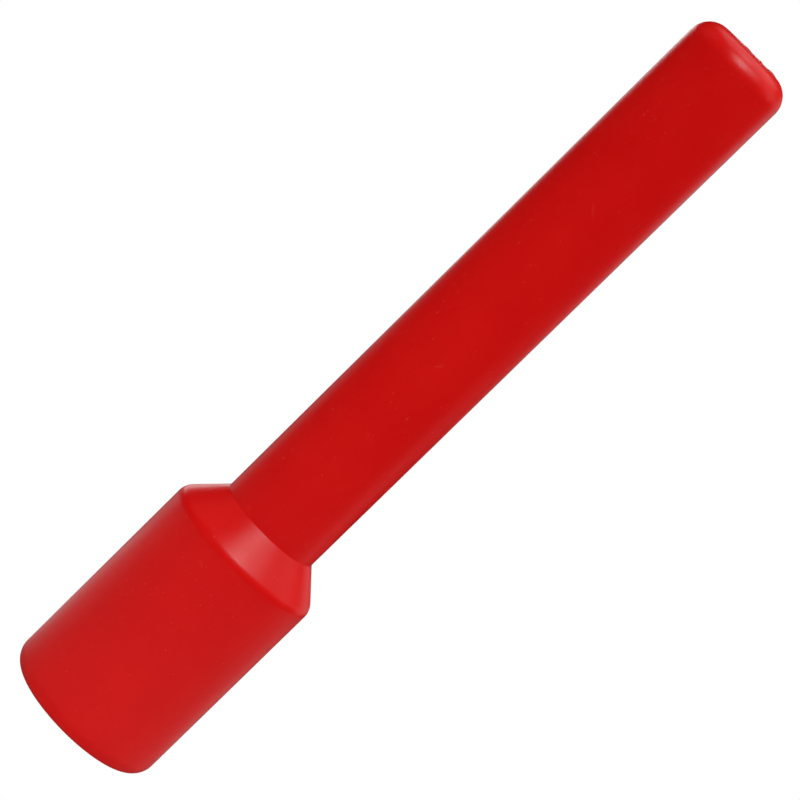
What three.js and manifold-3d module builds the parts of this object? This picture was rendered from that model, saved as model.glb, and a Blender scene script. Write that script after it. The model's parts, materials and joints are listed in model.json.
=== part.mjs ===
// Slam driver for thin rod fence posts: a red grip moulded over a weighted steel core.
// The tool stands on the rim of its bell. The origin is the middle of that rim's flat underside,
// +Z runs up the tool's axis, and every size is in millimetres.
import * as THREE from 'three';
import { mergeVertices } from 'three/addons/utils/BufferGeometryUtils.js';
import Module from 'manifold-3d';

const wasm = await Module();
wasm.setup();

// Outside of the moulding
const TOTAL_HEIGHT = 400;
const GRIP_RADIUS_TOP = 24.6;
const GRIP_RADIUS_FOOT = 24.1;
const GRIP_FOOT_HEIGHT = 118.8; // crease where the grip meets the cone
const SHOULDER_HEIGHT = 104.1; // where the cone and the bell's side would meet in a sharp edge
const BELL_RADIUS = 37.65;
const TOP_ROUND = 10.6;
const SHOULDER_ROUND = 7.1;
const RIM_ROUND = 8.9;

// Low scar where the moulding's gate was trimmed, at the far edge of the closed end
const GATE_SCAR_X = 12.2;
const GATE_SCAR_Y = 9.7;
const GATE_SCAR_RADIUS = 2.6;
const GATE_SCAR_HEIGHT = 0.4;

// Steel core inside it
const BARREL_OUTER_RADIUS = 19;
const BARREL_INNER_RADIUS = 15.8;
const BARREL_TOP = 388;
const FLANGE_RADIUS = 31.7;
const FLANGE_BOTTOM = 8;
const FLANGE_THICKNESS = 8;
const BALLAST_HEIGHT = 27.6;
const BALLAST_COUNT = 3;
const ROD_BORE_RADIUS = 11; // bore of both guide bushes: takes posts up to 20 mm across

// Mouth, closed by a plate let into the underside
const MOUTH_RADIUS = 26;
const MOUTH_RECESS = 1.8;
const PLATE_THICKNESS = 4.4;
const GASKET_THICKNESS = 1.2;
const SCREW_CIRCLE_RADIUS = 20.6;
const SCREW_RADIUS = 2.5;
const SCREW_HEAD_RADIUS = 4.2;
const SCREW_LENGTH = 13;
const SCREW_NAMES = ['front', 'right', 'rear', 'left'];

// Striker, which floats at the closed end of the barrel
const STRIKER_TRAVEL = 3;
const STRIKE_FACE_HEIGHT = 297; // face that the post's end meets
const ANVIL_BOTTOM = 302.4;
const ANVIL_LENGTH = 60;
const PAD_RADIUS = 12;
const RING_THICKNESS = 1.5;
const RING_INNER_RADIUS = 13.2;
const RING_OUTER_RADIUS = 16.7;
const LOWER_RING_BOTTOM = 252.7;

const GAP = 0.3; // clearance between pieces that touch
const OVERCUT = 1; // how far a cutter runs past the face that it cuts
const GRIP_FACETS = 48;
const CORE_FACETS = 36;
const SMALL_FACETS = 16;
const ARC_STEP = Math.PI / 12;

const RED = new THREE.MeshStandardMaterial({ color: '#c4130f', roughness: 0.42, metalness: 0 });
const MILD_STEEL = new THREE.MeshStandardMaterial({ color: '#6f7276', roughness: 0.5, metalness: 1 });
const TOOL_STEEL = new THREE.MeshStandardMaterial({ color: '#4b4d50', roughness: 0.35, metalness: 1 });
const SPRING_STEEL = new THREE.MeshStandardMaterial({ color: '#2b2c30', roughness: 0.4, metalness: 1 });
const ZINC = new THREE.MeshStandardMaterial({ color: '#b9bdc2', roughness: 0.3, metalness: 1 });
const CAST_IRON = new THREE.MeshStandardMaterial({ color: '#34363a', roughness: 0.7, metalness: 0.6 });
const NYLON = new THREE.MeshStandardMaterial({ color: '#e6e2d4', roughness: 0.5, metalness: 0 });
const RUBBER = new THREE.MeshStandardMaterial({ color: '#1b1b1c', roughness: 0.85, metalness: 0 });

// The arc of radius round that is tangent to both sides of a corner, as a list of points.
function cornerArc(before, corner, after, round) {
  const toBefore = before.clone().sub(corner).normalize();
  const toAfter = after.clone().sub(corner).normalize();
  const halfAngle = Math.acos(toBefore.dot(toAfter)) / 2;
  const middle = toBefore.clone().add(toAfter).normalize();
  const centre = corner.clone().addScaledVector(middle, round / Math.sin(halfAngle));
  const tangent = round / Math.tan(halfAngle);
  const start = corner.clone().addScaledVector(toBefore, tangent).sub(centre);
  const end = corner.clone().addScaledVector(toAfter, tangent).sub(centre);
  const sweep = Math.atan2(start.cross(end), start.dot(end));
  const steps = Math.ceil(Math.abs(sweep) / ARC_STEP);
  const origin = new THREE.Vector2();
  return Array.from({ length: steps + 1 }, (_, i) =>
    start.clone().rotateAround(origin, (sweep * i) / steps).add(centre));
}

// Corners are [radius, height] or [radius, height, round], counter-clockwise round the section.
// A section with both ends on the axis makes a solid, and any other one closes on itself as a ring.
function turned(corners, facets = CORE_FACETS) {
  const points = corners.map(([radius, height]) => new THREE.Vector2(radius, height));
  const outline = corners.flatMap(([, , round], i) =>
    round ? cornerArc(points.at(i - 1), points[i], points[(i + 1) % points.length], round) : [points[i]]);
  const isRing = points[0].x > 0;
  if (isRing) outline.push(outline[0].clone());
  return new THREE.LatheGeometry(outline, facets).rotateX(Math.PI / 2);
}

// A plain tube section with small chamfers, from height 0 up.
function tubeCorners(inner, outer, height, chamfer) {
  return [
    [inner + chamfer, 0], [outer - chamfer, 0], [outer, chamfer], [outer, height - chamfer],
    [outer - chamfer, height], [inner + chamfer, height], [inner, height - chamfer], [inner, chamfer],
  ];
}

// A plain solid round section with small chamfers, from height 0 up.
function discCorners(radius, height, chamfer) {
  return [
    [0, 0], [radius - chamfer, 0], [radius, chamfer],
    [radius, height - chamfer], [radius - chamfer, height], [0, height],
  ];
}

function toSolid(geometry) {
  const bare = geometry.index ? geometry.toNonIndexed() : geometry.clone();
  bare.deleteAttribute('normal');
  bare.deleteAttribute('uv');
  const merged = mergeVertices(bare, 1e-3);
  return new wasm.Manifold(new wasm.Mesh({
    numProp: 3,
    vertProperties: merged.attributes.position.array,
    triVerts: new Uint32Array(merged.index.array),
  }));
}

function toGeometry(solid) {
  const mesh = solid.getMesh();
  const result = new THREE.BufferGeometry();
  result.setAttribute('position', new THREE.BufferAttribute(mesh.vertProperties, 3));
  result.setIndex(new THREE.BufferAttribute(mesh.triVerts, 1));
  result.computeVertexNormals();
  return result;
}

// The first geometry with the others cut out of it.
function cut(geometry, ...cutters) {
  return toGeometry(cutters.reduce((left, cutter) => left.subtract(toSolid(cutter)), toSolid(geometry)));
}

// Two geometries that overlap, as one.
function joined(first, second) {
  return toGeometry(toSolid(first).add(toSolid(second)));
}

function piece(name, geometry, material, height = 0) {
  const mesh = new THREE.Mesh(geometry, material);
  mesh.name = name;
  mesh.position.z = height;
  return mesh;
}

// Where the four screws stand round the axis.
const screwPlaces = SCREW_NAMES.map((name, i) => {
  const angle = (i * Math.PI) / 2 - Math.PI / 2;
  const x = SCREW_CIRCLE_RADIUS * Math.cos(angle);
  const y = SCREW_CIRCLE_RADIUS * Math.sin(angle);
  return { name, x, y };
});

// One copy of a cutter at each screw.
function atScrews(makeCutter) {
  return screwPlaces.map(({ x, y }) => makeCutter().translate(x, y, 0));
}

// Cutters for the four screws' clearance holes, through that thickness from height 0 up.
function screwHoles(thickness) {
  const radius = SCREW_RADIUS + GAP;
  return atScrews(() => turned([
    [0, -OVERCUT], [radius, -OVERCUT], [radius, thickness + OVERCUT], [0, thickness + OVERCUT],
  ], SMALL_FACETS));
}

const flangeTop = FLANGE_BOTTOM + FLANGE_THICKNESS;
const ballastPitch = BALLAST_HEIGHT + GAP;
const ballastTop = flangeTop + GAP + BALLAST_COUNT * ballastPitch;
const gasketBottom = FLANGE_BOTTOM - GAP - GASKET_THICKNESS;

// Handle, cone and bell are one moulding, with the room for the core inside it.
function outerBody() {
  const lipTop = FLANGE_BOTTOM - GAP;
  const coreRoom = FLANGE_RADIUS + GAP;
  const barrelRoom = BARREL_OUTER_RADIUS + GAP;
  const moulding = turned([
    [0, BARREL_TOP + GAP], [barrelRoom, BARREL_TOP + GAP], [barrelRoom, ballastTop],
    [coreRoom, ballastTop], [coreRoom, lipTop], [MOUTH_RADIUS, lipTop], [MOUTH_RADIUS, 0],
    [BELL_RADIUS, 0, RIM_ROUND], [BELL_RADIUS, SHOULDER_HEIGHT, SHOULDER_ROUND],
    [GRIP_RADIUS_FOOT, GRIP_FOOT_HEIGHT], [GRIP_RADIUS_TOP, TOTAL_HEIGHT, TOP_ROUND], [0, TOTAL_HEIGHT],
  ], GRIP_FACETS);
  const root = 1;
  const scar = turned([
    [0, -root], [GATE_SCAR_RADIUS, -root], [GATE_SCAR_RADIUS - GATE_SCAR_HEIGHT, GATE_SCAR_HEIGHT],
    [0, GATE_SCAR_HEIGHT],
  ], SMALL_FACETS).translate(GATE_SCAR_X, GATE_SCAR_Y, TOTAL_HEIGHT);
  return piece('outer_body', joined(moulding, scar), RED);
}

const PIN_RADIUS = 2.5;
const PIN_HEIGHT = 382;
const PLUG_LENGTH = 12;

// A round cutter along X through the whole barrel, for the cross pin.
function pinHole() {
  const length = 3 * BARREL_OUTER_RADIUS;
  return new THREE.CylinderGeometry(PIN_RADIUS + GAP, PIN_RADIUS + GAP, length, SMALL_FACETS)
    .rotateZ(Math.PI / 2);
}

function ringGroove(ringBottom) {
  const bottom = ringBottom - GAP;
  const top = ringBottom + RING_THICKNESS + GAP;
  const depth = RING_OUTER_RADIUS + GAP;
  return [
    [BARREL_INNER_RADIUS, top], [depth, top], [depth, bottom], [BARREL_INNER_RADIUS, bottom],
  ];
}

const upperRingBottom = ANVIL_BOTTOM - GAP - RING_THICKNESS;

// The barrel has a groove for each retaining ring and a cross hole for the plug's pin.
function barrelTube() {
  const chamfer = 0.8;
  const bottom = flangeTop + GAP;
  const tube = turned([
    [BARREL_INNER_RADIUS, bottom], [BARREL_OUTER_RADIUS - chamfer, bottom],
    [BARREL_OUTER_RADIUS, bottom + chamfer], [BARREL_OUTER_RADIUS, BARREL_TOP - chamfer],
    [BARREL_OUTER_RADIUS - chamfer, BARREL_TOP], [BARREL_INNER_RADIUS, BARREL_TOP],
    ...ringGroove(upperRingBottom), ...ringGroove(LOWER_RING_BOTTOM),
  ]);
  return piece('barrel_tube', cut(tube, pinHole().translate(0, 0, PIN_HEIGHT)), MILD_STEEL);
}

function barrelEndPlug() {
  const bottom = BARREL_TOP - PLUG_LENGTH;
  const chamfer = 1;
  const plug = turned(discCorners(BARREL_INNER_RADIUS - GAP, PLUG_LENGTH, chamfer));
  return piece('barrel_end_plug', cut(plug, pinHole().translate(0, 0, PIN_HEIGHT - bottom)), MILD_STEEL, bottom);
}

// A flat C shape, open by slot, between two radii.
function slottedRing(inner, outer, slot, thickness, facets) {
  const innerOpening = Math.asin(slot / 2 / inner);
  const outerOpening = Math.asin(slot / 2 / outer);
  const shape = new THREE.Shape();
  shape.absarc(0, 0, outer, outerOpening, 2 * Math.PI - outerOpening, false);
  shape.absarc(0, 0, inner, 2 * Math.PI - innerOpening, innerOpening, true);
  shape.closePath();
  return new THREE.ExtrudeGeometry(shape, { depth: thickness, bevelEnabled: false, curveSegments: facets });
}

// Slotted spring pin that holds the plug in the barrel.
function plugPin() {
  const wall = 0.9;
  const slot = 0.8;
  const length = 2 * (BARREL_OUTER_RADIUS - GAP);
  const pin = slottedRing(PIN_RADIUS - wall, PIN_RADIUS, slot, length, SMALL_FACETS)
    .translate(0, 0, -length / 2).rotateY(Math.PI / 2);
  return piece('plug_pin', pin, SPRING_STEEL, PIN_HEIGHT);
}

// Rubber disc between the plug and the striker, with the striker's travel left free below it.
function anvilBuffer() {
  const bottom = ANVIL_BOTTOM + ANVIL_LENGTH + STRIKER_TRAVEL + GAP;
  const thickness = BARREL_TOP - PLUG_LENGTH - GAP - bottom;
  const chamfer = 1.5;
  const disc = turned(discCorners(BARREL_INNER_RADIUS - 2 * GAP, thickness, chamfer));
  return piece('anvil_buffer', disc, RUBBER, bottom);
}

const PAD_SOCKET_DEPTH = 4;
const SPIGOT_RADIUS = 4;
const SPIGOT_LENGTH = 10;

// Hardened slug with a stepped socket in its lower face for the strike pad.
function anvil() {
  const radius = BARREL_INNER_RADIUS - GAP;
  const chamfer = 1.5;
  const socketRadius = PAD_RADIUS + GAP;
  const spigotHoleTop = PAD_SOCKET_DEPTH + SPIGOT_LENGTH;
  return piece('anvil', turned([
    [0, spigotHoleTop], [SPIGOT_RADIUS, spigotHoleTop], [SPIGOT_RADIUS, PAD_SOCKET_DEPTH],
    [socketRadius, PAD_SOCKET_DEPTH], [socketRadius, 0], [radius - chamfer, 0], [radius, chamfer],
    [radius, ANVIL_LENGTH - chamfer], [radius - chamfer, ANVIL_LENGTH], [0, ANVIL_LENGTH],
  ]), TOOL_STEEL, ANVIL_BOTTOM);
}

function strikePad() {
  const shoulder = ANVIL_BOTTOM + PAD_SOCKET_DEPTH - GAP - STRIKE_FACE_HEIGHT;
  const spigotRadius = SPIGOT_RADIUS - GAP;
  const spigotTop = shoulder + SPIGOT_LENGTH - GAP;
  const edge = 1;
  return piece('strike_pad', turned([
    [0, 0], [PAD_RADIUS, 0, edge], [PAD_RADIUS, shoulder], [spigotRadius, shoulder],
    [spigotRadius, spigotTop - edge], [spigotRadius - edge, spigotTop], [0, spigotTop],
  ]), NYLON, STRIKE_FACE_HEIGHT);
}

function retainingRing(name, bottom) {
  const slot = 3;
  const ring = slottedRing(RING_INNER_RADIUS, RING_OUTER_RADIUS, slot, RING_THICKNESS, CORE_FACETS);
  return piece(name, ring, SPRING_STEEL, bottom);
}

const bushRadius = BARREL_INNER_RADIUS - GAP;

// The upper bush stands on the lower ring, and its top is hollowed for the strike pad.
function upperGuideBush() {
  const bottom = LOWER_RING_BOTTOM + RING_THICKNESS + GAP;
  const length = upperRingBottom - GAP - bottom;
  const hollowBottom = STRIKE_FACE_HEIGHT - 2 * GAP - bottom;
  const hollowRadius = PAD_RADIUS + 2 * GAP;
  const leadInRadius = 13.6;
  const leadInHeight = 4;
  return piece('upper_guide_bush', turned([
    [leadInRadius, 0], [bushRadius, 0], [bushRadius, length], [hollowRadius, length],
    [hollowRadius, hollowBottom], [ROD_BORE_RADIUS, hollowBottom], [ROD_BORE_RADIUS, leadInHeight],
  ]), NYLON, bottom);
}

const BUSH_FLANGE_RADIUS = 16.9;
const BUSH_FLANGE_THICKNESS = 2.7;
const LOWER_BUSH_TOP = 60;

function lowerGuideBush() {
  const bottom = FLANGE_BOTTOM + GAP;
  const length = LOWER_BUSH_TOP - bottom;
  const mouthChamfer = 1;
  const topChamfer = 2;
  const topChamferHeight = 3;
  return piece('lower_guide_bush', turned([
    [ROD_BORE_RADIUS + mouthChamfer, 0], [BUSH_FLANGE_RADIUS, 0], [BUSH_FLANGE_RADIUS, BUSH_FLANGE_THICKNESS],
    [bushRadius, BUSH_FLANGE_THICKNESS], [bushRadius, length], [ROD_BORE_RADIUS + topChamfer, length],
    [ROD_BORE_RADIUS, length - topChamferHeight], [ROD_BORE_RADIUS, mouthChamfer],
  ]), NYLON, bottom);
}

// Ring of weight number i, counted up from the flange.
function ballastRing(name, i) {
  const chamfer = 1.2;
  const ring = turned(tubeCorners(BARREL_OUTER_RADIUS + GAP, FLANGE_RADIUS, BALLAST_HEIGHT, chamfer));
  return piece(name, ring, CAST_IRON, flangeTop + GAP + i * ballastPitch);
}

// Flange on the barrel's foot: it carries the weights, and the mouth plate is screwed to it.
function coreFlange() {
  const counterbore = BUSH_FLANGE_RADIUS + GAP;
  const counterboreDepth = BUSH_FLANGE_THICKNESS + 2 * GAP;
  const flange = turned([
    [counterbore, 0], [FLANGE_RADIUS, 0], [FLANGE_RADIUS, FLANGE_THICKNESS],
    [BARREL_INNER_RADIUS, FLANGE_THICKNESS], [BARREL_INNER_RADIUS, counterboreDepth],
    [counterbore, counterboreDepth],
  ]);
  return piece('core_flange', cut(flange, ...screwHoles(FLANGE_THICKNESS)), MILD_STEEL, FLANGE_BOTTOM);
}

const WEAR_FLANGE_RADIUS = 16.8;
const WEAR_FLANGE_BOTTOM = 5;
const WEAR_SPIGOT_RADIUS = 14.7;

function mouthGasket() {
  const ring = turned([
    [WEAR_FLANGE_RADIUS + GAP, 0], [MOUTH_RADIUS - 2 * GAP, 0],
    [MOUTH_RADIUS - 2 * GAP, GASKET_THICKNESS], [WEAR_FLANGE_RADIUS + GAP, GASKET_THICKNESS],
  ]);
  return piece('mouth_gasket', cut(ring, ...screwHoles(GASKET_THICKNESS)), RUBBER, gasketBottom);
}

// Steel plate with a stepped hole that traps the wear ring, and four countersunk holes.
function mouthPlate() {
  const stepHeight = WEAR_FLANGE_BOTTOM - GAP - MOUTH_RECESS;
  const outer = MOUTH_RADIUS - GAP;
  const chamfer = 0.5;
  const plate = turned([
    [WEAR_SPIGOT_RADIUS + GAP, 0], [outer - chamfer, 0], [outer, chamfer], [outer, PLATE_THICKNESS],
    [WEAR_FLANGE_RADIUS + GAP, PLATE_THICKNESS], [WEAR_FLANGE_RADIUS + GAP, stepHeight],
    [WEAR_SPIGOT_RADIUS + GAP, stepHeight],
  ]);
  const headRoom = SCREW_HEAD_RADIUS + GAP;
  const shankRoom = SCREW_RADIUS + GAP;
  const countersink = () => turned([
    [0, -OVERCUT], [headRoom, -OVERCUT], [headRoom, GAP], [shankRoom, GAP + headRoom - shankRoom],
    [shankRoom, PLATE_THICKNESS + OVERCUT], [0, PLATE_THICKNESS + OVERCUT],
  ], SMALL_FACETS);
  return piece('mouth_plate', cut(plate, ...atScrews(countersink)), ZINC, MOUTH_RECESS);
}

// Hardened ring whose cone leads the post into the bushes.
function wearRing() {
  const setBack = 0.1;
  const bottom = MOUTH_RECESS + setBack;
  const top = FLANGE_BOTTOM - bottom;
  const step = WEAR_FLANGE_BOTTOM - bottom;
  const coneFoot = 13.6;
  const coneTop = 11.6;
  return piece('wear_ring', turned([
    [coneFoot, 0], [WEAR_SPIGOT_RADIUS, 0], [WEAR_SPIGOT_RADIUS, step],
    [WEAR_FLANGE_RADIUS, step], [WEAR_FLANGE_RADIUS, top], [coneTop, top],
  ]), TOOL_STEEL, bottom);
}

const HEX_ACROSS_FLATS = 3;
const HEX_DEPTH = 1.8;

// Countersunk screw with a hexagon socket, head down.
function mouthScrew({ name, x, y }) {
  const rim = 0.3;
  const coneTop = rim + SCREW_HEAD_RADIUS - SCREW_RADIUS;
  const tipChamfer = 0.6;
  const setBack = 0.2;
  const blank = turned([
    [0, 0], [SCREW_HEAD_RADIUS, 0], [SCREW_HEAD_RADIUS, rim], [SCREW_RADIUS, coneTop],
    [SCREW_RADIUS, SCREW_LENGTH - tipChamfer], [SCREW_RADIUS - tipChamfer, SCREW_LENGTH], [0, SCREW_LENGTH],
  ], SMALL_FACETS);
  const hexRadius = HEX_ACROSS_FLATS / Math.sqrt(3);
  const socket = new THREE.CylinderGeometry(hexRadius, hexRadius, 2 * HEX_DEPTH, 6).rotateX(Math.PI / 2);
  const screw = piece(`mouth_screw_${name}`, cut(blank, socket), ZINC, MOUTH_RECESS + setBack);
  screw.position.x = x;
  screw.position.y = y;
  return screw;
}

// Everything that stays put on the moulding.
const driver = new THREE.Group();
driver.add(
  outerBody(),
  barrelTube(),
  barrelEndPlug(),
  plugPin(),
  anvilBuffer(),
  retainingRing('anvil_retaining_ring', upperRingBottom),
  upperGuideBush(),
  retainingRing('bush_retaining_ring', LOWER_RING_BOTTOM),
  lowerGuideBush(),
  coreFlange(),
  ...['lower', 'middle', 'upper'].map((place, i) => ballastRing(`ballast_ring_${place}`, i)),
  mouthGasket(),
  mouthPlate(),
  wearRing(),
  ...screwPlaces.map(mouthScrew),
);

// The striker rests on the upper retaining ring and rises by its travel at each blow.
const striker = new THREE.Group();
striker.add(anvil(), strikePad());

const postDriver = new THREE.Group();
postDriver.add(driver, striker);

export default postDriver;
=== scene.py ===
"""The looks of the post driver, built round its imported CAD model. Metres, +Z up."""
import json
import math

import bpy
import numpy as np
from mathutils import Matrix, Vector


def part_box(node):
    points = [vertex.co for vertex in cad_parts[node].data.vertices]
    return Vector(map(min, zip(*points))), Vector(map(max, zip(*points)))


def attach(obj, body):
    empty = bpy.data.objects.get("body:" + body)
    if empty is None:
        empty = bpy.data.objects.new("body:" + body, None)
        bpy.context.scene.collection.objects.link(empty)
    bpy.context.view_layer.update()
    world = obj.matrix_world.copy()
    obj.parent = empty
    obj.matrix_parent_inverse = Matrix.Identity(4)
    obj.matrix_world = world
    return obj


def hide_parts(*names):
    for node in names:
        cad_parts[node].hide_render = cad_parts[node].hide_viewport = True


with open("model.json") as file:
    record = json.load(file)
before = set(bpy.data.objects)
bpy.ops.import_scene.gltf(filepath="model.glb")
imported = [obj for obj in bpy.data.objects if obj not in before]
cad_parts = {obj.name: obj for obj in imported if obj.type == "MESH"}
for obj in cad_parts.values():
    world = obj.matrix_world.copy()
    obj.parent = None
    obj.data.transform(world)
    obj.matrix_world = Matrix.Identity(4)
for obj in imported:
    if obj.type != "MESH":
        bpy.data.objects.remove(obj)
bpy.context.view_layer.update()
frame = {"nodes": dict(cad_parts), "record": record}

MM = 0.001

# Outside of the red moulding, as in the CAD source. The rest comes from the frame.
GRIP_RADIUS_TOP = 24.6 * MM
GRIP_RADIUS_FOOT = 24.1 * MM
GRIP_FOOT_HEIGHT = 118.8 * MM
SHOULDER_HEIGHT = 104.1 * MM
TOP_HEIGHT = 400 * MM
TOP_ROUND = 10.6 * MM
SHOULDER_ROUND = 7.1 * MM
RIM_ROUND = 8.9 * MM
CREASE_ROUND = 0.35 * MM
MOUTH_RADIUS = 26 * MM
MOUTH_EDGE_ROUND = 0.8 * MM
CORE_GAP = 0.3 * MM
# How finely it is turned: the sides round the axis, and the longest stretch of its section
BODY_SIDES = 256
LONGEST_STRETCH = 2 * MM

# Lumps on the far edge of the closed end: x, y, radius and height. The first is the gate scar that the CAD
# part has too. They raise only what lies within GATE_DEPTH of the top.
GATE_LUMPS = (
    (12.2 * MM, 9.7 * MM, 2.6 * MM, 0.38 * MM),
    (5.2 * MM, 14.7 * MM, 0.9 * MM, 0.3 * MM),
    (-2.6 * MM, 15.4 * MM, 2.0 * MM, 0.22 * MM),
)
GATE_DEPTH = 2 * MM

bell_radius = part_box("outer_body")[1].x


# Camera: as far away and as high as the photographed view, rolled so that the tool leans to the right.

CAMERA_DISTANCE = 1.5532
CAMERA_HEIGHT = 0.4357
CAMERA_SIDE = 0.0005
CAMERA_PITCH = math.radians(8.798)
CAMERA_ROLL = math.radians(45.543)
CAMERA_LENS_MM = 169.19
CAMERA_SENSOR_MM = 36
CAMERA_CLIP_START = 0.05
CAMERA_CLIP_END = 200


def make_camera():
    data = bpy.data.cameras.new("camera")
    data.lens = CAMERA_LENS_MM
    data.sensor_width = CAMERA_SENSOR_MM
    data.clip_start = CAMERA_CLIP_START
    data.clip_end = CAMERA_CLIP_END
    camera = bpy.data.objects.new("camera", data)
    bpy.context.scene.collection.objects.link(camera)
    right = Vector((1, 0, 0))
    up = Vector((0, math.sin(CAMERA_PITCH), math.cos(CAMERA_PITCH)))
    back = right.cross(up)
    c = math.cos(CAMERA_ROLL)
    s = math.sin(CAMERA_ROLL)
    turned = Matrix((c * right + s * up, c * up - s * right, back)).transposed()
    stand = Matrix.Translation((CAMERA_SIDE, -CAMERA_DISTANCE, CAMERA_HEIGHT))
    camera.matrix_world = stand @ turned.to_4x4()
    bpy.context.scene.camera = camera


make_camera()


# Node helpers

def add_node(tree, kind, settings=None, **inputs):
    """A node of that kind. Inputs are values or output sockets. They are named by socket, with _ for a
    space, or by number: in0, in1 and so on."""
    node = tree.nodes.new(kind)
    for name, value in (settings or {}).items():
        setattr(node, name, value)
    for name, value in inputs.items():
        numbered = name.startswith("in") and name[2:].isdigit()
        key = int(name[2:]) if numbered else name.replace("_", " ")
        if isinstance(value, bpy.types.NodeSocket):
            tree.links.new(value, node.inputs[key])
        else:
            node.inputs[key].default_value = value
    return node


def math_node(tree, operation, a, b=0.0, clamp=False):
    settings = {"operation": operation, "use_clamp": clamp}
    return add_node(tree, "ShaderNodeMath", settings, in0=a, in1=b).outputs[0]


def map_range(tree, value, low, high, out_low=0.0, out_high=1.0):
    inputs = {"From_Min": low, "From_Max": high, "To_Min": out_low, "To_Max": out_high}
    return add_node(tree, "ShaderNodeMapRange", Value=value, **inputs).outputs["Result"]


def noise(tree, vector, scale, detail=3.0, roughness=0.5):
    inputs = {"Vector": vector, "Scale": scale, "Detail": detail, "Roughness": roughness}
    return add_node(tree, "ShaderNodeTexNoise", **inputs).outputs[0]


def mix_colour(tree, factor, a, b):
    node = tree.nodes.new("ShaderNodeMix")
    node.data_type = "RGBA"
    for socket, value in ((node.inputs[0], factor), (node.inputs[6], a), (node.inputs[7], b)):
        if isinstance(value, bpy.types.NodeSocket):
            tree.links.new(value, socket)
        else:
            socket.default_value = value
    return node.outputs[2]


def bump(tree, height, strength, distance, normal=None):
    node = add_node(tree, "ShaderNodeBump", Height=height, Strength=strength, Distance=distance)
    if normal is not None:
        tree.links.new(normal, node.inputs["Normal"])
    return node.outputs["Normal"]


def scaled(tree, vector, scale):
    return add_node(tree, "ShaderNodeMapping", Vector=vector, Scale=scale).outputs["Vector"]


def new_material(name, **constants):
    """A material with one Principled shader, whose constant values are set on its own sockets."""
    material = bpy.data.materials.new(name)
    material.use_nodes = True
    tree = material.node_tree
    shader = next(n for n in tree.nodes if n.type == "BSDF_PRINCIPLED")
    for socket, value in constants.items():
        shader.inputs[socket.replace("_", " ")].default_value = value
    place = add_node(tree, "ShaderNodeTexCoord").outputs["Object"]
    return material, tree, shader, place


# Materials

# The middle part of a mark's radius that has its full strength
MARK_CORE = 0.3


def cells(tree, place, scale):
    """Scattered points: the distance to the nearest one, and two numbers of its own to choose by."""
    points = add_node(tree, "ShaderNodeTexVoronoi", Vector=place, Scale=scale)
    split = add_node(tree, "ShaderNodeSeparateColor", Color=points.outputs["Color"])
    return points.outputs["Distance"], split.outputs[0], split.outputs[1]


def specks(tree, place, scale, share, size):
    """Small separate round marks of uneven strength. share is the part of the cells that hold one."""
    distance, choice, strength = cells(tree, place, scale)
    inside = map_range(tree, distance, low=size, high=size * MARK_CORE)
    chosen = math_node(tree, "MULTIPLY", math_node(tree, "LESS_THAN", choice, share), strength)
    return math_node(tree, "MULTIPLY", inside, chosen)


def scuffs(tree, place, turn, scale, stretch, share, size):
    """Short fine scratches that all run one way: long thin cells, of which a few hold one."""
    laid = add_node(tree, "ShaderNodeMapping", Vector=place, Rotation=turn)
    return specks(tree, scaled(tree, laid.outputs["Vector"], (1, 1, stretch)), scale, share, size)


# The single marks that stand out on the front: turn from the front in degrees, then height, radius of the
# surface, length round it and width up it, all in mm, and strength
NICKS = (
    (-20.5, 383.2, 24.6, 2.0, 0.6, 0.8),
    (-11.0, 388.6, 24.6, 0.8, 0.6, 0.7),
    (1.5, 389.3, 24.6, 1.4, 0.7, 0.5),
    (15.8, 388.6, 24.6, 1.3, 0.6, 0.6),
    (37.7, 388.6, 24.6, 0.7, 0.6, 0.8),
    (-29.3, 392.7, 23.5, 0.7, 0.6, 0.7),
    (-8.5, 88.0, 37.6, 1.4, 0.5, 0.7),
    (20.0, 91.0, 37.6, 0.7, 0.7, 0.7),
    (-25.0, 36.0, 37.6, 1.6, 0.5, 0.5),
)


def nicks(tree, place):
    """The single marks of the table above. Each is a small soft-edged oval on the surface."""
    split = add_node(tree, "ShaderNodeSeparateXYZ", Vector=place)
    x, y, z = split.outputs
    turn = math_node(tree, "ARCTAN2", x, math_node(tree, "MULTIPLY", y, -1.0))
    total = None
    for degrees, height, radius, length, width, strength in NICKS:
        along = math_node(tree, "MULTIPLY", math_node(tree, "SUBTRACT", turn, math.radians(degrees)),
                          2 * radius / length)
        up = math_node(tree, "MULTIPLY", math_node(tree, "SUBTRACT", z, height * MM), 2 / (width * MM))
        offset = add_node(tree, "ShaderNodeCombineXYZ", X=along, Y=up).outputs[0]
        away = add_node(tree, "ShaderNodeVectorMath", {"operation": "LENGTH"}, in0=offset).outputs["Value"]
        mark = map_range(tree, away, low=1.0, high=MARK_CORE, out_low=0.0, out_high=strength)
        total = mark if total is None else math_node(tree, "MAXIMUM", total, mark)
    return total


# How strongly the red plastic's marks show: the scuffs among them, then all of them as dust colour, and
# what they add to the roughness
SCUFF_STRENGTH = 0.5
DUST_STRENGTH = 0.6
DUST_ROUGHNESS = 0.25


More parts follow.
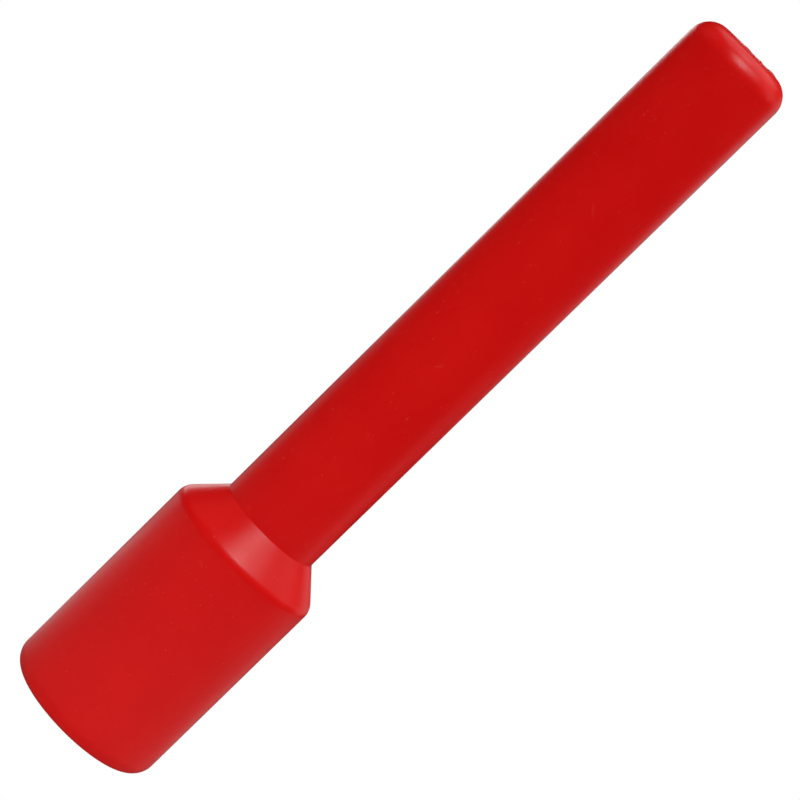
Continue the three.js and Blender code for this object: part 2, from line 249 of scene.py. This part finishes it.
def red_moulding():
    """Satin red plastic with faint mottling, dust specks, tiny pits, a few scuffs and the single marks."""
    material, tree, shader, place = new_material("red_moulding", Roughness=0.31, IOR=1.5)
    red = (0.55, 0.0042, 0.0040, 1)
    light_red = (0.585, 0.0060, 0.0050, 1)
    dust = (0.70, 0.075, 0.065, 1)
    mottle = map_range(tree, noise(tree, place, scale=22, detail=5, roughness=0.62), low=0.35, high=0.65)
    colour = mix_colour(tree, mottle, red, light_red)
    clouds = map_range(tree, noise(tree, place, scale=190, detail=4, roughness=0.65),
                       low=0.55, high=0.75, out_low=0, out_high=0.035)
    colour = mix_colour(tree, clouds, colour, dust)
    marks = specks(tree, place, scale=260, share=0.07, size=0.18)
    fine_marks = specks(tree, place, scale=620, share=0.07, size=0.32)
    wander = add_node(tree, "ShaderNodeTexNoise", Vector=place, Scale=70, Detail=0).outputs["Color"]
    bent = add_node(tree, "ShaderNodeVectorMath", {"operation": "MULTIPLY_ADD"}, in0=wander,
                    in1=(6 * MM, 6 * MM, 6 * MM), in2=place).outputs["Vector"]
    one_way = scuffs(tree, bent, turn=(0.1, 0.9, 0.2), scale=300, stretch=0.10, share=0.10, size=0.14)
    other_way = scuffs(tree, bent, turn=(0.2, -0.7, 0.1), scale=340, stretch=0.12, share=0.10, size=0.14)
    scratches = math_node(tree, "MAXIMUM", one_way, other_way)
    scratches = math_node(tree, "MULTIPLY", scratches, SCUFF_STRENGTH)
    dusty = math_node(tree, "MAXIMUM", math_node(tree, "MAXIMUM", marks, fine_marks),
                      math_node(tree, "MAXIMUM", scratches, nicks(tree, place)))
    colour = mix_colour(tree, math_node(tree, "MULTIPLY", dusty, DUST_STRENGTH), colour, dust)
    tree.links.new(colour, shader.inputs["Base Color"])
    rough = map_range(tree, noise(tree, place, scale=60, detail=5, roughness=0.6),
                      low=0.3, high=0.7, out_low=0.28, out_high=0.34)
    dusty_rough = math_node(tree, "MULTIPLY", dusty, DUST_ROUGHNESS)
    tree.links.new(math_node(tree, "ADD", rough, dusty_rough), shader.inputs["Roughness"])
    fine = noise(tree, place, scale=1100, detail=3, roughness=0.6)
    grain = bump(tree, fine, strength=0.10, distance=0.2 * MM)
    wide = noise(tree, place, scale=55, detail=3, roughness=0.5)
    waves = bump(tree, wide, strength=0.16, distance=MM, normal=grain)
    dots = specks(tree, place, scale=300, share=0.05, size=0.26)
    pits = bump(tree, dots, strength=-0.5, distance=0.3 * MM, normal=waves)
    grooves = bump(tree, scratches, strength=-0.3, distance=0.2 * MM, normal=pits)
    tree.links.new(grooves, shader.inputs["Normal"])
    return material


# How dark the stains on metal are, as a part of its colour
STAIN_SHADE = 0.72


def steel(name, colour, low_rough, high_rough, metallic=1.0, grain_stretch=(1, 1, 1), grain_scale=600,
          grain_strength=0.08):
    """Metal with worn-in variation of colour and roughness, and a grain that may run one way."""
    material, tree, shader, place = new_material(name, Metallic=metallic)
    dark = (*[c * STAIN_SHADE for c in colour], 1)
    stain = map_range(tree, noise(tree, place, scale=35, detail=5, roughness=0.62), low=0.35, high=0.7)
    tree.links.new(mix_colour(tree, stain, (*colour, 1), dark), shader.inputs["Base Color"])
    fine = noise(tree, scaled(tree, place, grain_stretch), grain_scale, detail=4, roughness=0.6)
    tree.links.new(map_range(tree, fine, low=0.3, high=0.7, out_low=low_rough, out_high=high_rough),
                   shader.inputs["Roughness"])
    tree.links.new(bump(tree, fine, grain_strength, distance=0.3 * MM), shader.inputs["Normal"])
    return material


def nylon():
    material, tree, shader, place = new_material(
        "nylon", Roughness=0.5, IOR=1.53, Subsurface_Weight=0.15, Subsurface_Scale=0.004)
    tint = map_range(tree, noise(tree, place, scale=25, detail=4, roughness=0.55), low=0.35, high=0.65)
    colour = mix_colour(tree, tint, (0.80, 0.77, 0.68, 1), (0.74, 0.70, 0.59, 1))
    tree.links.new(colour, shader.inputs["Base Color"])
    turning = noise(tree, scaled(tree, place, (0.02, 0.02, 1)), scale=1800, detail=2, roughness=0.5)
    tree.links.new(map_range(tree, turning, low=0.3, high=0.7, out_low=0.42, out_high=0.58),
                   shader.inputs["Roughness"])
    tree.links.new(bump(tree, turning, strength=0.12, distance=0.2 * MM), shader.inputs["Normal"])
    return material


def rubber():
    material, tree, shader, place = new_material("rubber", Roughness=0.8, IOR=1.45)
    bloom = map_range(tree, noise(tree, place, scale=40, detail=5, roughness=0.6), low=0.4, high=0.7)
    tree.links.new(mix_colour(tree, bloom, (0.012, 0.012, 0.013, 1), (0.03, 0.03, 0.03, 1)),
                   shader.inputs["Base Color"])
    fine = noise(tree, place, scale=1200, detail=3, roughness=0.6)
    tree.links.new(map_range(tree, fine, low=0.3, high=0.7, out_low=0.7, out_high=0.9),
                   shader.inputs["Roughness"])
    tree.links.new(bump(tree, fine, strength=0.2, distance=0.2 * MM), shader.inputs["Normal"])
    return material


materials = {
    "red_moulding": red_moulding(),
    "mild_steel": steel("mild_steel", (0.42, 0.43, 0.44), 0.32, 0.5, grain_stretch=(1, 1, 0.04)),
    "tool_steel": steel("tool_steel", (0.26, 0.26, 0.27), 0.22, 0.36, grain_stretch=(0.05, 0.05, 1)),
    "spring_steel": steel("spring_steel", (0.06, 0.06, 0.07), 0.4, 0.55, grain_scale=1500),
    "zinc_plate": steel("zinc_plate", (0.68, 0.70, 0.73), 0.24, 0.4, grain_scale=900, grain_strength=0.05),
    "cast_weight": steel("cast_weight", (0.045, 0.047, 0.052), 0.55, 0.75, metallic=0.6,
                         grain_scale=500, grain_strength=0.35),
    "nylon": nylon(),
    "rubber": rubber(),
}


# The moulding's own mesh: a fine turned shell with the core's room inside

def corner_arc(before, corner, after, radius, steps):
    """Points of the arc that is tangent to both sides of a corner, from the side before it on."""
    corner = np.array(corner, float)
    to_before = np.array(before, float) - corner
    to_after = np.array(after, float) - corner
    to_before /= np.linalg.norm(to_before)
    to_after /= np.linalg.norm(to_after)
    half = math.acos(to_before @ to_after) / 2
    middle = (to_before + to_after) / np.linalg.norm(to_before + to_after)
    centre = corner + middle * radius / math.sin(half)
    start = corner + to_before * radius / math.tan(half) - centre
    end = corner + to_after * radius / math.tan(half) - centre
    sweep = math.atan2(start[0] * end[1] - start[1] * end[0], start @ end)
    points = []
    for i in range(steps + 1):
        a = sweep * i / steps
        points.append((centre[0] + start[0] * math.cos(a) - start[1] * math.sin(a),
                       centre[1] + start[0] * math.sin(a) + start[1] * math.cos(a)))
    return points


def section(corners):
    """A section from corners (radius, height) or (radius, height, round, steps)."""
    points = []
    for i, corner in enumerate(corners):
        if len(corner) == 2:
            points.append(corner)
            continue
        before = corners[i - 1][:2]
        after = corners[(i + 1) % len(corners)][:2]
        points += corner_arc(before, corner[:2], after, corner[2], corner[3])
    return points


def fill_between(points, longest):
    """The same section with no stretch longer than that, so that shading and displacement stay even."""
    filled = [points[0]]
    for a, b in zip(points, points[1:]):
        parts = max(1, math.ceil(math.dist(a, b) / longest))
        filled += [(a[0] + (b[0] - a[0]) * k / parts, a[1] + (b[1] - a[1]) * k / parts)
                   for k in range(1, parts + 1)]
    return filled


# A section's point nearer to the axis than this is on it
ON_AXIS = 1e-7


def turned_mesh(name, points, sides, move=None):
    """A closed mesh turned round Z from a section whose ends are on the axis."""
    angles = np.arange(sides) * 2 * math.pi / sides
    rings = [(r, z) for r, z in points if r > ON_AXIS]
    r = np.array([p[0] for p in rings])[:, None]
    z = np.array([p[1] for p in rings])[:, None]
    co = np.stack([r * np.cos(angles), r * np.sin(angles), z + 0 * angles], -1).reshape(-1, 3)
    ends = np.array([[0, 0, points[0][1]], [0, 0, points[-1][1]]])
    co = np.concatenate([co, ends])
    if move is not None:
        co = move(co)
    faces = []
    for i in range(len(rings) - 1):
        for j in range(sides):
            k = (j + 1) % sides
            faces.append((i * sides + j, i * sides + k, (i + 1) * sides + k, (i + 1) * sides + j))
    last = (len(rings) - 1) * sides
    first_end = len(rings) * sides
    for j in range(sides):
        k = (j + 1) % sides
        faces.append((k, j, first_end))
        faces.append((last + j, last + k, first_end + 1))
    mesh = bpy.data.meshes.new(name)
    mesh.from_pydata(co.tolist(), [], faces)
    mesh.validate()
    for polygon in mesh.polygons:
        polygon.use_smooth = True
    piece = bpy.data.objects.new(name, mesh)
    bpy.context.scene.collection.objects.link(piece)
    return piece


def trimmed_gate(co):
    """The trimmed gate's scar on the far edge of the closed end, and two fainter lumps beside it."""
    raised = co.copy()
    on_top = co[:, 2] > TOP_HEIGHT - GATE_DEPTH
    for x, y, radius, height in GATE_LUMPS:
        away = np.hypot(co[:, 0] - x, co[:, 1] - y) / radius
        raised[:, 2] += on_top * height * np.exp(-away ** 4)
    return raised


def make_body():
    """The red moulding. Its outside is the CAD part's, and the room inside leaves the core its gap."""
    flange_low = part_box("core_flange")[0]
    barrel_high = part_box("barrel_tube")[1]
    ballast_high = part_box("ballast_ring_upper")[1]
    lip_top = flange_low.z - CORE_GAP
    core_radius = ballast_high.x + CORE_GAP
    barrel_radius = barrel_high.x + CORE_GAP
    core_top = ballast_high.z + CORE_GAP
    barrel_top = barrel_high.z + CORE_GAP
    points = section([
        (0, barrel_top), (barrel_radius, barrel_top), (barrel_radius, core_top), (core_radius, core_top),
        (core_radius, lip_top), (MOUTH_RADIUS, lip_top), (MOUTH_RADIUS, 0, MOUTH_EDGE_ROUND, 4),
        (bell_radius, 0, RIM_ROUND, 24), (bell_radius, SHOULDER_HEIGHT, SHOULDER_ROUND, 20),
        (GRIP_RADIUS_FOOT, GRIP_FOOT_HEIGHT, CREASE_ROUND, 5),
        (GRIP_RADIUS_TOP, TOP_HEIGHT, TOP_ROUND, 28), (0, TOP_HEIGHT),
    ])
    filled = fill_between(points, LONGEST_STRETCH)
    body = turned_mesh("outer_body_moulding", filled, BODY_SIDES, trimmed_gate)
    body.data.materials.append(materials["red_moulding"])
    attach(body, "driver")
    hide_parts("outer_body")


make_body()


# The CAD nodes that stay: smooth faces, small bevels and their own finish

SHARP_ANGLE = math.radians(35)
EDGE_WIDTH = 0.15 * MM
record_slots = {s["node"]: s["material_slot"] for s in frame["record"]["subparts"]}

for node_name, node in frame["nodes"].items():
    if node_name == "outer_body":
        continue
    node.data.materials.clear()
    node.data.materials.append(materials[record_slots[node_name]])
    for polygon in node.data.polygons:
        polygon.use_smooth = True
    bevel = node.modifiers.new("edges", "BEVEL")
    bevel.width = EDGE_WIDTH
    bevel.segments = 2
    bevel.limit_method = "ANGLE"
    bevel.angle_limit = SHARP_ANGLE
    bevel.harden_normals = True


# Stage: a white floor that is only seen, the light that the object gets from it, and the studio lights

# Half the floor's width
FLOOR_REACH = 60

# The floor glow's depth under the floor, and how soft its patches' edges are: along the reach in powers of
# ten, and round the object in degrees
GLOW_DEPTH = 0.1 * MM
GLOW_SOFT_REACH = 0.3
GLOW_SOFT_TURN = 20.0

# The mouth glow: its strength at the middle, the radii where it starts and ends to fade, and its disc
MOUTH_GLOW_STRENGTH = 1.6
MOUTH_GLOW_FULL = 6 * MM
MOUTH_GLOW_NONE = 34 * MM
MOUTH_GLOW_DEPTH = 0.05 * MM
MOUTH_GLOW_RADIUS = 27.8 * MM
MOUTH_GLOW_SIDES = 96

# Patches of the lit floor round the object: nearest and farthest reach in metres, the turns from the front
# in degrees between which it lies, positive to the right, and its brightness.
GLOW_PATCHES = (
    (0.04, 0.5, -95, 125, 0.19),
    (0.04, 0.5, 125, 155, 0.26),
    (0.04, 0.5, -125, -95, 0.32),
    (0.04, 0.5, -155, -125, 0.54),
    (0.5, 1.6, 95, 125, 0.21),
    (0.5, 1.6, -155, -125, 0.29),
    (1.6, 8.0, 125, 155, 0.14),
    (1.6, 8.0, 155, 180, 0.4),
    (1.6, 8.0, 180, 205, 1.3),
)


def stage_mesh(name, vertices, faces, material):
    mesh = bpy.data.meshes.new(name)
    mesh.from_pydata(vertices, [], faces)
    mesh.materials.append(material)
    made = bpy.data.objects.new(name, mesh)
    bpy.context.scene.collection.objects.link(made)
    return made


def emission_material(name, strength):
    """White light from the upper side, and clear from below, so that the underside can be looked at."""
    material = bpy.data.materials.new(name)
    material.use_nodes = True
    tree = material.node_tree
    tree.nodes.clear()
    glow = add_node(tree, "ShaderNodeEmission", Color=(1, 1, 1, 1), Strength=strength)
    clear = add_node(tree, "ShaderNodeBsdfTransparent")
    below = add_node(tree, "ShaderNodeNewGeometry").outputs["Backfacing"]
    sides = add_node(tree, "ShaderNodeMixShader", in0=below, in1=glow.outputs[0], in2=clear.outputs[0])
    add_node(tree, "ShaderNodeOutputMaterial", Surface=sides.outputs[0])
    return material, tree, glow


def flat_square(name, reach, height, material):
    corners = [(x * reach, y * reach, height) for x, y in ((-1, -1), (1, -1), (1, 1), (-1, 1))]
    return stage_mesh(name, corners, [(0, 1, 2, 3)], material)


def make_floor():
    """White floor that fills the frame. It is only seen: its light is the glow's."""
    material = emission_material("floor_white", 1.0)[0]
    floor = flat_square("floor", FLOOR_REACH, 0, material)
    floor.visible_glossy = False
    floor.visible_diffuse = False
    floor.visible_shadow = False


def window(tree, value, start, end, soft):
    """1 between start and end and 0 outside, with soft edges centred on both."""
    rise = map_range(tree, value, start - soft / 2, start + soft / 2)
    fall = map_range(tree, value, end - soft / 2, end + soft / 2, 1.0, 0.0)
    return math_node(tree, "MULTIPLY", rise, fall)


def make_floor_glow():
    """What the object gets from the floor: patches of light, by distance and by the turn from the front."""
    material, tree, glow = emission_material("floor_glow", 0.0)
    place = add_node(tree, "ShaderNodeTexCoord").outputs["Object"]
    split = add_node(tree, "ShaderNodeSeparateXYZ", Vector=place)
    x, y = split.outputs[:2]
    reach = add_node(tree, "ShaderNodeVectorMath", {"operation": "LENGTH"}, in0=place).outputs["Value"]
    reach = math_node(tree, "LOGARITHM", reach, 10.0)
    radians = math_node(tree, "ARCTAN2", x, math_node(tree, "MULTIPLY", y, -1.0))
    turn = math_node(tree, "MULTIPLY", radians, 180 / math.pi)
    negative = math_node(tree, "LESS_THAN", turn, 0.0)
    wrapped = math_node(tree, "ADD", turn, math_node(tree, "MULTIPLY", negative, 360.0))
    total = None
    for near, far, start, end, strength in GLOW_PATCHES:
        along = window(tree, reach, math.log10(near), math.log10(far), GLOW_SOFT_REACH)
        across = window(tree, wrapped if end > 180 else turn, start, end, GLOW_SOFT_TURN)
        patch = math_node(tree, "MULTIPLY", math_node(tree, "MULTIPLY", along, across), strength)
        total = patch if total is None else math_node(tree, "ADD", total, patch)
    tree.links.new(total, glow.inputs["Strength"])
    floor = flat_square("floor_glow", FLOOR_REACH, -GLOW_DEPTH, material)
    floor.visible_camera = False
    floor.visible_shadow = False


def make_mouth_glow():
    """Light that only the mouth gets, from the floor that the rim covers. It fades out towards the rim."""
    material, tree, light = emission_material("mouth_glow", 0.0)
    place = add_node(tree, "ShaderNodeTexCoord").outputs["Object"]
    reach = add_node(tree, "ShaderNodeVectorMath", {"operation": "LENGTH"}, in0=place).outputs["Value"]
    fade = map_range(tree, reach, MOUTH_GLOW_FULL, MOUTH_GLOW_NONE, MOUTH_GLOW_STRENGTH, 0.0)
    tree.links.new(fade, light.inputs["Strength"])
    turns = [2 * math.pi * k / MOUTH_GLOW_SIDES for k in range(MOUTH_GLOW_SIDES)]
    edge = [(MOUTH_GLOW_RADIUS * math.cos(a), MOUTH_GLOW_RADIUS * math.sin(a), -MOUTH_GLOW_DEPTH)
            for a in turns]
    glow = stage_mesh("mouth_glow", edge, [tuple(range(MOUTH_GLOW_SIDES))], material)
    glow.visible_camera = False
    glow.visible_shadow = False


def area_light(name, place, aim, width, height, power):
    data = bpy.data.lights.new(name, "AREA")
    data.shape = "RECTANGLE"
    data.size = width
    data.size_y = height
    data.energy = power
    light = bpy.data.objects.new(name, data)
    bpy.context.scene.collection.objects.link(light)
    light.location = place
    light.rotation_mode = "QUATERNION"
    light.rotation_quaternion = (Vector(aim) - Vector(place)).to_track_quat("-Z", "Y")
    light.visible_camera = False
    return light


def fill_light(name, turn, rise, spread, strength):
    """Soft light from a wide part of the sky round one direction. It shows in no reflection."""
    data = bpy.data.lights.new(name, "SUN")
    data.energy = strength
    data.angle = math.radians(spread)
    data.cycles.use_multiple_importance_sampling = False
    light = bpy.data.objects.new(name, data)
    bpy.context.scene.collection.objects.link(light)
    turn = math.radians(turn)
    rise = math.radians(rise)
    source = Vector((math.sin(turn) * math.cos(rise), -math.cos(turn) * math.cos(rise), math.sin(rise)))
    light.rotation_mode = "QUATERNION"
    light.rotation_quaternion = (-source).to_track_quat("-Z", "Y")
    light.visible_glossy = False


def make_world():
    """White where the camera looks past the floor, and dark to everything else."""
    world = bpy.data.worlds.new("studio")
    world.use_nodes = True
    world.cycles.sampling_method = "NONE"
    tree = world.node_tree
    background = next(n for n in tree.nodes if n.type == "BACKGROUND")
    background.inputs["Color"].default_value = (1, 1, 1, 1)
    rays = add_node(tree, "ShaderNodeLightPath")
    tree.links.new(rays.outputs["Is Camera Ray"], background.inputs["Strength"])
    bpy.context.scene.world = world


make_floor()
make_floor_glow()
make_mouth_glow()
make_world()
fill_light("sky_fill", turn=0, rise=90, spread=180, strength=2.5)
fill_light("ground_fill", turn=0, rise=-90, spread=180, strength=1.35)
fill_light("back_right_fill", turn=125, rise=15, spread=40, strength=1.0)
fill_light("under_fill", turn=0, rise=-90, spread=20, strength=1.1)
area_light("key", (0, -1.06, 2.0), (0, 0, 0.3), width=0.5, height=1.0, power=4.8)
area_light("key_wide", (0.1, -0.94, 2.07), (0, 0, 0.3), width=1.5, height=0.9, power=8.4)
area_light("overhead", (0.1, 0.78, 2.14), (0, 0, 0.3), width=2.2, height=2.0, power=9.6)
area_light("overhead_middle", (0, 0.2, 2.3), (0, 0, 0.3), width=0.5, height=0.6, power=1.4)
area_light("overhead_right", (1.1, -0.68, 2.18), (0, 0, 0.3), width=0.7, height=1.0, power=1.6)
area_light("right", (1.9, 0.5, 1.8), (0, 0, 0.2), width=1.6, height=1.6, power=3.3)
area_light("left", (-1.9, 0.5, 1.8), (0, 0, 0.2), width=1.6, height=1.6, power=0.7)
area_light("back_right", (2.4, 3.2, 0.8), (0, 0, 0.3), width=2.6, height=1.6, power=4.2)
area_light("back_low", (-1.1, 5.0, 0.45), (0, 0, 0.4), width=3.8, height=0.5, power=13)
# Lights the surface from low in front, and isn't mirrored in it
low_front = area_light("low_front", (-0.05, -0.5, 0.02), (0, 0, 0.08), width=0.8, height=0.3, power=0.75)
low_front.visible_glossy = False
low_front.data.cycles.use_multiple_importance_sampling = False

bpy.context.scene.view_settings.view_transform = "Standard"
bpy.context.scene.view_settings.look = "None"
